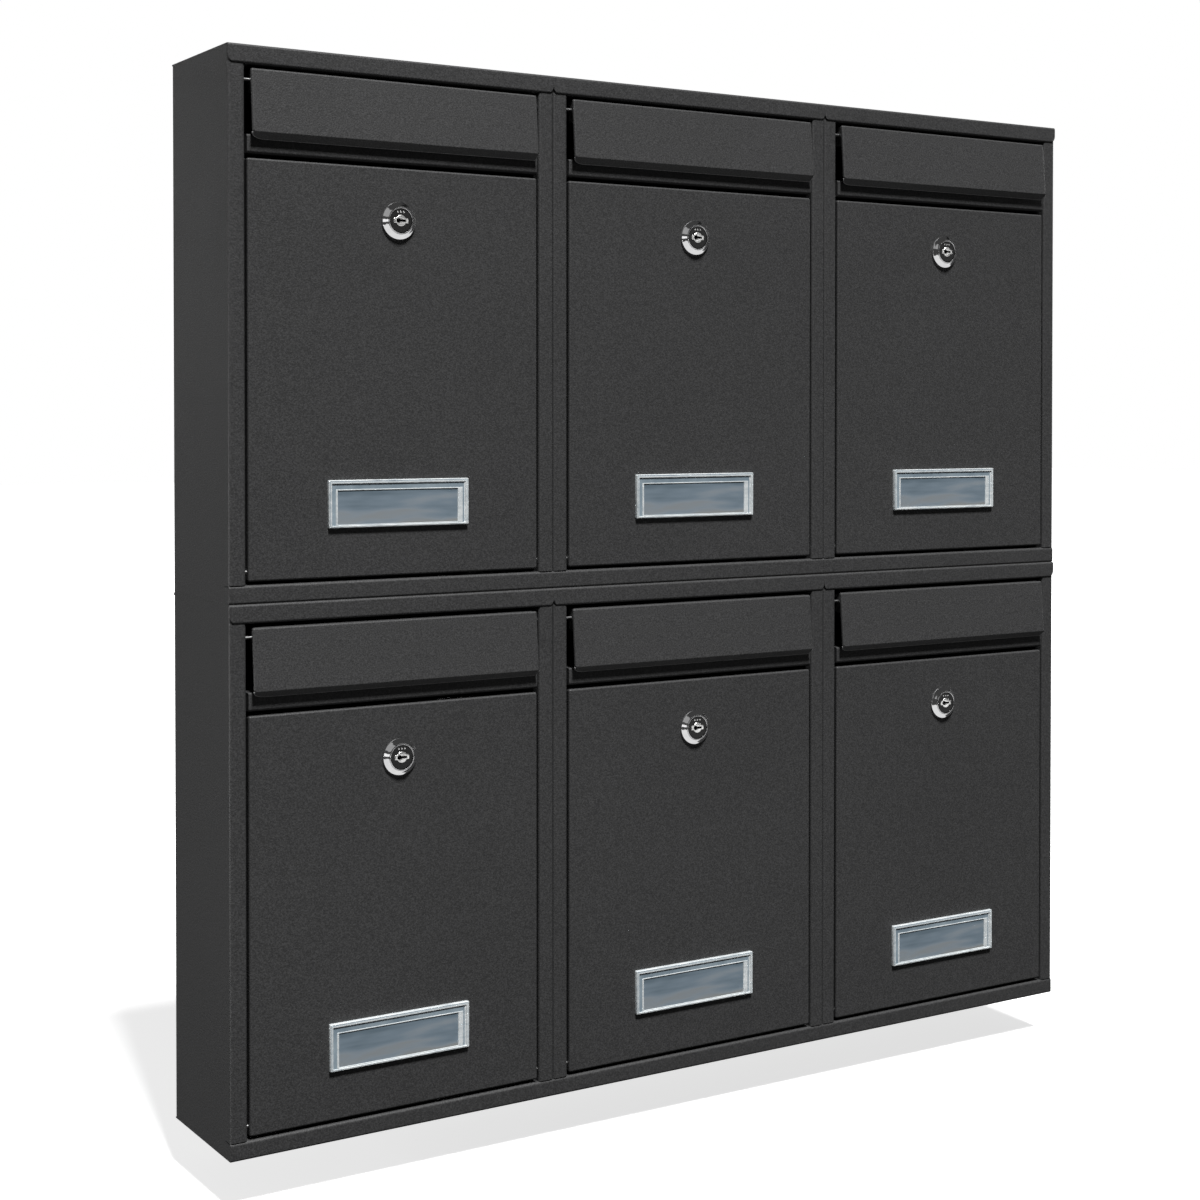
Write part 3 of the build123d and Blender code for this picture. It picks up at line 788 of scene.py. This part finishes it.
def plug_mesh():
    """Glossy black face disc with a silver core, a level key slot and three plain dots."""
    bm = bmesh.new()
    profile = [(0, FACE_Y), (3.0, FACE_Y), (6.75, FACE_Y)]
    profile += arc_profile((6.9, FACE_Y + 0.35), 0.35, 270, 360, 4)
    profile += [(FACE_R, -1.6), (PLUG_R, -1.6), (PLUG_R, BARREL_END), (0, BARREL_END)]
    add_turned(bm, profile, LOCK_X, LOCK_Z)
    disc = finished("plug_disc", bm, BLACK, bevel=0.05, cutters=key_slot(0.15))
    bm = bmesh.new()
    loops = [
        core_outline(3.35, 1.5, 4.8, FACE_Y + 0.2), core_outline(3.35, 1.5, 4.8, FACE_Y - 0.2),
        core_outline(3.2, 1.35, 4.65, FACE_Y - 0.36), core_outline(2.9, 1.2, 4.4, FACE_Y - 0.45),
    ]
    add_loops(bm, loops, close_first=True, close_last=True)
    core = finished("plug_core", bm, CAST, bevel=0.05, cutters=key_slot(0))
    bm = bmesh.new()
    dot = [(r, FACE_Y + y) for r, y in ((0, -0.14), (0.36, -0.14), (0.52, -0.05), (0.56, 0.1), (0, 0.1))]
    for x in (-2.0, 0, 2.0):
        add_turned(bm, dot, LOCK_X + x, LOCK_Z + 5.1, 24)
    dots = finished("plug_dots", bm, CAST, bevel=0)
    return joined("plug", [disc, core, dots])


def key_slot(wider):
    """Level slot for the key, with a round opening towards its left end."""
    bm = bmesh.new()
    half_w, half_h, front = KEY_W / 2 + wider, KEY_H / 2 + wider, FACE_Y - 1
    add_block(bm, (LOCK_X - half_w, front, LOCK_Z - half_h), (LOCK_X + half_w, 3, LOCK_Z + half_h))
    add_rod_y(bm, KEY_ROUND_R + wider, front, 3, LOCK_X + KEY_ROUND_X, LOCK_Z, 32)
    return bm


def cam_mesh():
    """Flat steel tongue with rounded ends, and its screw."""
    bm = bmesh.new()
    half = CAM_W / 2
    waist = 180 - math.degrees(math.asin(half / CAM_EYE_R))
    outline = arc_profile((LOCK_X, LOCK_Z), CAM_EYE_R, waist, -waist, 24)
    outline += arc_profile((LOCK_X - CAM_L + half, LOCK_Z), half, -90, -270, 16)
    loops = [[Vector((x, y, z)) for x, z in outline] for y in (BARREL_END, BARREL_END + CAM_T)]
    add_loops(bm, loops, close_first=True, close_last=True)
    tongue = finished("tongue", bm, ZINC, bevel=0.25)
    bm = bmesh.new()
    y = BARREL_END + CAM_T
    profile = [(0, y + 1.75), (2.2, y + 1.75)]
    profile += arc_profile((3.1, y + 0.9), 0.85, 90, 0) + [(3.95, y), (0, y)]
    add_turned(bm, profile, LOCK_X, LOCK_Z, 48)
    cross = bmesh.new()
    for dx, dz in ((2.2, 0.42), (0.42, 2.2)):
        add_block(cross, (LOCK_X - dx, y + 0.8, LOCK_Z - dz), (LOCK_X + dx, y + 3, LOCK_Z + dz))
    screw = finished("cam_screw", bm, ZINC, bevel=0.06, cutters=cross)
    return joined("cam", [tongue, screw])


# ---------------------------------------------------------------- name plate

def plate_mesh():
    """Clear moulding: a bright rim, a recessed band and a bevelled window opening."""
    bm = bmesh.new()
    x0, x1, z0, z1 = PLATE_LOW.x, PLATE_HIGH.x, PLATE_LOW.z, PLATE_HIGH.z
    back, front = PLATE_BACK, PLATE_LOW.y

    def loop(left, right, top, bottom, y, radius):
        return rounded_rectangle(x0 + left, x1 - right, z0 + bottom, z1 - top, radius, y)

    loops = [
        loop(0.5, 0.5, 0.5, 0.5, back, 0.5), loop(0, 0, 0, 0, back, 0.7), loop(0, 0, 0, 0, front + 0.8, 0.7),
        loop(0.15, 0.15, 0.2, 0.2, front + 0.3, 0.6), loop(0.45, 0.45, 0.5, 0.5, front + 0.05, 0.5),
        loop(0.7, 0.75, 0.85, 0.7, front + 0.2, 0.5), loop(0.95, 1.0, 1.1, 0.85, front, 0.5),
        loop(1.7, 1.9, 2.0, 1.2, front, 0.5), loop(2.0, 2.2, 2.3, 1.45, front + 0.5, 0.4),
        loop(2.1, 3.1, 2.4, 1.5, front + 0.65, 0.4), loop(4.5, 3.9, 5.5, 1.55, front + 0.75, 0.4),
        loop(4.7, 4.1, 5.7, 1.6, front + 0.55, 0.4), loop(5.6, 6.9, 6.0, 1.9, front + 0.55, 0.4),
        loop(5.8, 7.2, 6.2, 2.0, front + 0.75, 0.3), loop(5.9, 7.4, 6.3, 2.1, front + 1.2, 0.3),
        loop(5.6, 7.0, 6.0, 1.8, front + 1.2, 0.3), loop(5.6, 7.0, 6.0, 1.8, back, 0.3),
    ]
    bands = add_loops(bm, [*loops, loops[0]])
    bmesh.ops.remove_doubles(bm, verts=bm.verts, dist=SEAM)
    for index in (5, 9):
        for face in bands[index]:
            face.material_index = 1
    mesh = finished("plate", bm, RIM, bevel=0, smooth=30)
    mesh.materials.append(BAND)
    return mesh


def card_mesh():
    """Blank name card lying in the moulding, a little bowed."""
    bm = bmesh.new()
    x0, x1, z0, z1 = PLATE_LOW.x + 5.7, PLATE_HIGH.x - 7.1, PLATE_LOW.z + 1.9, PLATE_HIGH.z - 6.1
    columns, rows = 24, 8
    skins = []
    for depth in (0.0, CARD_T):
        grid = []
        for r in range(rows + 1):
            v = r / rows
            line = []
            for c in range(columns + 1):
                u = c / columns
                bow = CARD_BOW * math.sin(math.pi * u) * (0.6 + 0.4 * math.sin(math.pi * v))
                line.append(Vector((x0 + (x1 - x0) * u, CARD_Y - bow + depth, z0 + (z1 - z0) * v)))
            grid.append(line)
        skins.append(grid)
    grid_solid(bm, *skins)
    return finished("card", bm, CARD, bevel=0)


def peg_mesh():
    """Ends of the moulding's pegs behind the door, with their push-on washers."""
    middle = (PLATE_LOW.x + PLATE_HIGH.x) / 2
    height = (PLATE_LOW.z + PLATE_HIGH.z) / 2
    peg = [(0, 0.2), (1.5, 0.2)] + arc_profile((1.1, 2.6), 0.4, 0, 90, 4) + [(0, 3.0)]
    washer = [(1.6, 0.85), (3.9, 0.85), (4.0, 0.95), (4.0, 1.25), (3.8, 1.35), (2.6, 1.45), (1.6, 1.9)]
    washer += washer[:1]
    pegs, washers = bmesh.new(), bmesh.new()
    for x in (middle - PEG_X, middle + PEG_X):
        add_turned(pegs, peg, x, height, 32)
        add_turned(washers, washer, x, height, 36)
    bmesh.ops.remove_doubles(washers, verts=washers.verts, dist=SEAM)
    # The pegs share the rim's coat, with its painted highlight
    pegs = finished("pegs", pegs, RIM, bevel=0)
    washers = finished("washers", washers, ZINC, bevel=0)
    return joined("pegs_and_washers", [pegs, washers])


# ---------------------------------------------------------------- placing

def hold_flats(mesh, angle=35):
    """Gives each corner the normal of the largest faces around it, so that flat sheet shades flat."""
    around = [[] for _ in mesh.vertices]
    for face in mesh.polygons:
        for vertex in face.vertices:
            around[vertex].append((face.normal.copy(), face.area))
    limit = math.cos(math.radians(angle))
    normals = []
    for face in mesh.polygons:
        for vertex in face.vertices:
            total = Vector()
            for normal, area in around[vertex]:
                if normal.dot(face.normal) > limit:
                    total += normal * area
            normals.append(total.normalized() if total.length else face.normal.copy())
    mesh.normals_split_custom_set(normals)
    return mesh


def place(mesh, name, box, body, slot, *nodes):
    """Puts a copy of a box-local mesh in a box and lets it stand for CAD nodes."""
    copy = mesh.copy()
    copy.name = name
    copy.transform(Matrix.Translation(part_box(f"{box}_body_shell")[0]))
    obj = new_object(name, copy)
    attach(obj, body)
    if nodes:
        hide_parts(*nodes)


def build_boxes():
    shell, cover, rail, flap, door = map(hold_flats, (
        shell_mesh(), cover_mesh(), rail_mesh(), flap_mesh(), door_mesh(),
    ))
    bezel, nut, plug, cam = bezel_mesh(), nut_mesh(), plug_mesh(), cam_mesh()
    plate, card, pegs = plate_mesh(), card_mesh(), peg_mesh()
    for box in BOXES:
        door_body, lock_body = f"{box}_front_door", f"{box}_lock"
        place(shell, f"{box}_folded_shell", box, "cabinet", "steel_shell", f"{box}_body_shell")
        place(cover, f"{box}_lapped_cover", box, "cabinet", "steel_cover", f"{box}_top_cover")
        place(rail, f"{box}_folded_rail", box, "cabinet", "steel_cover", f"{box}_sill_rail")
        place(flap, f"{box}_lipped_flap", box, f"{box}_flap", "steel_front", f"{box}_letter_flap")
        place(door, f"{box}_folded_door", box, door_body, "steel_front", f"{box}_door")
        place(bezel, f"{box}_lock_bezel", box, door_body, "lock_chrome", f"{box}_lock_housing")
        place(nut, f"{box}_lock_nut", box, door_body, "zinc_steel")
        place(plate, f"{box}_plate_moulding", box, door_body, "clear_plastic", f"{box}_name_plate")
        place(card, f"{box}_name_card", box, door_body, "clear_plastic")
        place(pegs, f"{box}_plate_pegs", box, door_body, "zinc_steel")
        place(plug, f"{box}_lock_face", box, lock_body, "lock_core", f"{box}_lock_plug")
        place(cam, f"{box}_lock_tongue", box, lock_body, "zinc_steel", f"{box}_lock_cam")


def finish_cad_nodes():
    """Pins, bolts and nuts keep their CAD shape and get a zinc finish."""
    for name in ("flap_hinge_pins", "door_hinge_pins", "joining_bolts", "joining_nuts"):
        mesh = frame["nodes"][name].data
        mesh.materials.clear()
        mesh.materials.append(ZINC)


# ---------------------------------------------------------------- stage

def area_light(name, place, target, size, radiance, only_for=None):
    """Rectangular light of a given brightness, for the whole scene or for some pieces only."""
    light = bpy.data.lights.new(name, "AREA")
    light.shape = "RECTANGLE"
    light.size, light.size_y = size
    light.energy = radiance * math.pi * size[0] * size[1]
    obj = new_object(name, light)
    obj.location = place
    obj.rotation_euler = (Vector(target) - Vector(place)).to_track_quat("-Z", "Y").to_euler()
    obj.visible_camera = False
    if only_for:
        obj.light_linking.receiver_collection = only_for


def light_group(name, wanted):
    """The meshes whose names are wanted, as the only ones a light reaches."""
    group = bpy.data.collections.new(name)
    for obj in bpy.data.objects:
        if obj.type == "MESH" and wanted(obj.name):
            group.objects.link(obj)
    return group


def build_floor():
    """Pale floor with a painted glow, weaker near the bank and stronger outwards, so that it is darker around
    the bank and fades into the backdrop.
    """
    bm = bmesh.new()
    bmesh.ops.create_grid(bm, x_segments=8, y_segments=8, size=12.0)
    floor = new_object("floor", mesh_of(bm, "floor"))
    floor.location = (0, 0, cad_low.z - FLOOR_GAP)
    floor.visible_diffuse = False
    floor.visible_glossy = False
    material, nodes, links, shader = new_material("pale_floor")
    place = nodes.new("ShaderNodeTexCoord").outputs["Object"]
    cloud = noise_of(nodes, links, place, 3.0, 2.0, 0.5)
    tint = ramp_of(nodes, links, cloud.outputs["Fac"], [(0.3, (0.80, 0.80, 0.80)), (0.7, (0.82, 0.82, 0.82))])
    links.new(tint.outputs["Color"], shader.inputs["Base Color"])
    shader.inputs["Roughness"].default_value = 0.9
    shader.inputs["Emission Color"].default_value = (1.0, 1.0, 1.0, 1.0)
    # Painted glow: the floor emits light of its own, seen only by the camera, less of it near the bank
    away = nodes.new("ShaderNodeVectorMath")
    away.operation = "LENGTH"
    links.new(place, away.inputs[0])
    glow = nodes.new("ShaderNodeMapRange")
    glow.interpolation_type = "SMOOTHSTEP"
    glow.inputs["From Min"].default_value = 0.3
    glow.inputs["From Max"].default_value = 3.0
    glow.inputs["To Min"].default_value = 0.72
    glow.inputs["To Max"].default_value = 0.95
    links.new(away.outputs["Value"], glow.inputs["Value"])
    links.new(glow.outputs["Result"], shader.inputs["Emission Strength"])
    floor.data.materials.append(material)


def build_world():
    """Pale backdrop for the camera, a dim even fill for the object."""
    world = bpy.data.worlds.new("studio")
    bpy.context.scene.world = world
    world.use_nodes = True
    nodes, links = world.node_tree.nodes, world.node_tree.links
    background = nodes["Background"]
    path = nodes.new("ShaderNodeLightPath")
    level = nodes.new("ShaderNodeMapRange")
    level.inputs["To Min"].default_value = 0.05
    level.inputs["To Max"].default_value = 1.0
    links.new(path.outputs["Is Camera Ray"], level.inputs["Value"])
    links.new(level.outputs["Result"], background.inputs["Strength"])
    background.inputs["Color"].default_value = (1.0, 1.0, 1.0, 1.0)


def build_camera():
    """Eye level with the bank, a little to its left."""
    camera = bpy.data.cameras.new("camera")
    camera.sensor_width = 36.0
    camera.lens = 60.53
    camera.shift_y = -0.125
    obj = new_object("camera", camera)
    obj.location = (-0.7546, -1.1735, 0.1081)
    obj.rotation_euler = Euler((math.radians(90 - 0.976), 0, math.radians(-32.155)))
    bpy.context.scene.camera = obj


def build_lights():
    """A high key from the front left, soft side and back lights, and cards that shape the chrome."""
    middle = (0, -0.09, 0)
    whole = light_group("whole_object", lambda name: name != "floor" and not name.endswith("_lock_bezel"))
    plain = light_group("all_but_bezels", lambda name: not name.endswith("_lock_bezel"))
    area_light("key", (-0.84, -5.87, 10.5), middle, (1.8, 1.8), 272, plain)
    area_light("left", (-1.6, 0.25, -0.15), (0, 0.25, -0.15), (0.7, 0.3), 15)
    area_light("front_fill", (-0.1, -0.5, -0.31), (-0.1, -0.3, 1), (1.4, 0.3), 0.2, whole)
    area_light("right", (3.0, 0.3, 0.8), middle, (1.5, 1.5), 4.0, whole)
    area_light("rear", (0.5, 3.2, 1.0), middle, (2.5, 2.0), 3.5, whole)
    for row, height in (("upper", BOX_H * MM), ("lower", 0.0)):
        locks = light_group(f"{row}_locks", lambda name: name.startswith(row) and "_lock_" in name)
        flaps = light_group(f"{row}_flaps", lambda name: name.startswith(row) and name.endswith("_flap"))
        faces = light_group(f"{row}_faces", lambda name: name.startswith(row) and name.endswith("_lock_face"))
        target, low = (0, -0.09, height - 0.1), height - 0.31
        area_light(f"{row}_strip", (0, -0.19, low), (0, -0.17, 1), (1.0, 0.16), 0.42, flaps)
        area_light(f"{row}_card_low", (0, -0.41, low), (0, -0.41, 1), (2.2, 0.64), 0.75, locks)
        area_light(f"{row}_card_left", (-1.06, -1.1, height - 0.02), target, (0.6, 0.26), 1.0, locks)
        area_light(f"{row}_card_high", (-1.0, -1.13, height + 0.9), target, (1.4, 1.0), 0.3, locks)
        side = (0, -0.15, height - 0.1)
        area_light(f"{row}_card_side", (1.6, -0.15, height), side, (0.2, 0.6), 0.25, locks)
        front = (0.75, -1.2, 2 * height - 0.3)
        area_light(f"{row}_card_front", front, target, (1.1, 0.3), 1.8, faces)


build_boxes()
finish_cad_nodes()
build_floor()
build_world()
build_camera()
build_lights()
bpy.context.scene.view_settings.view_transform = "Standard"
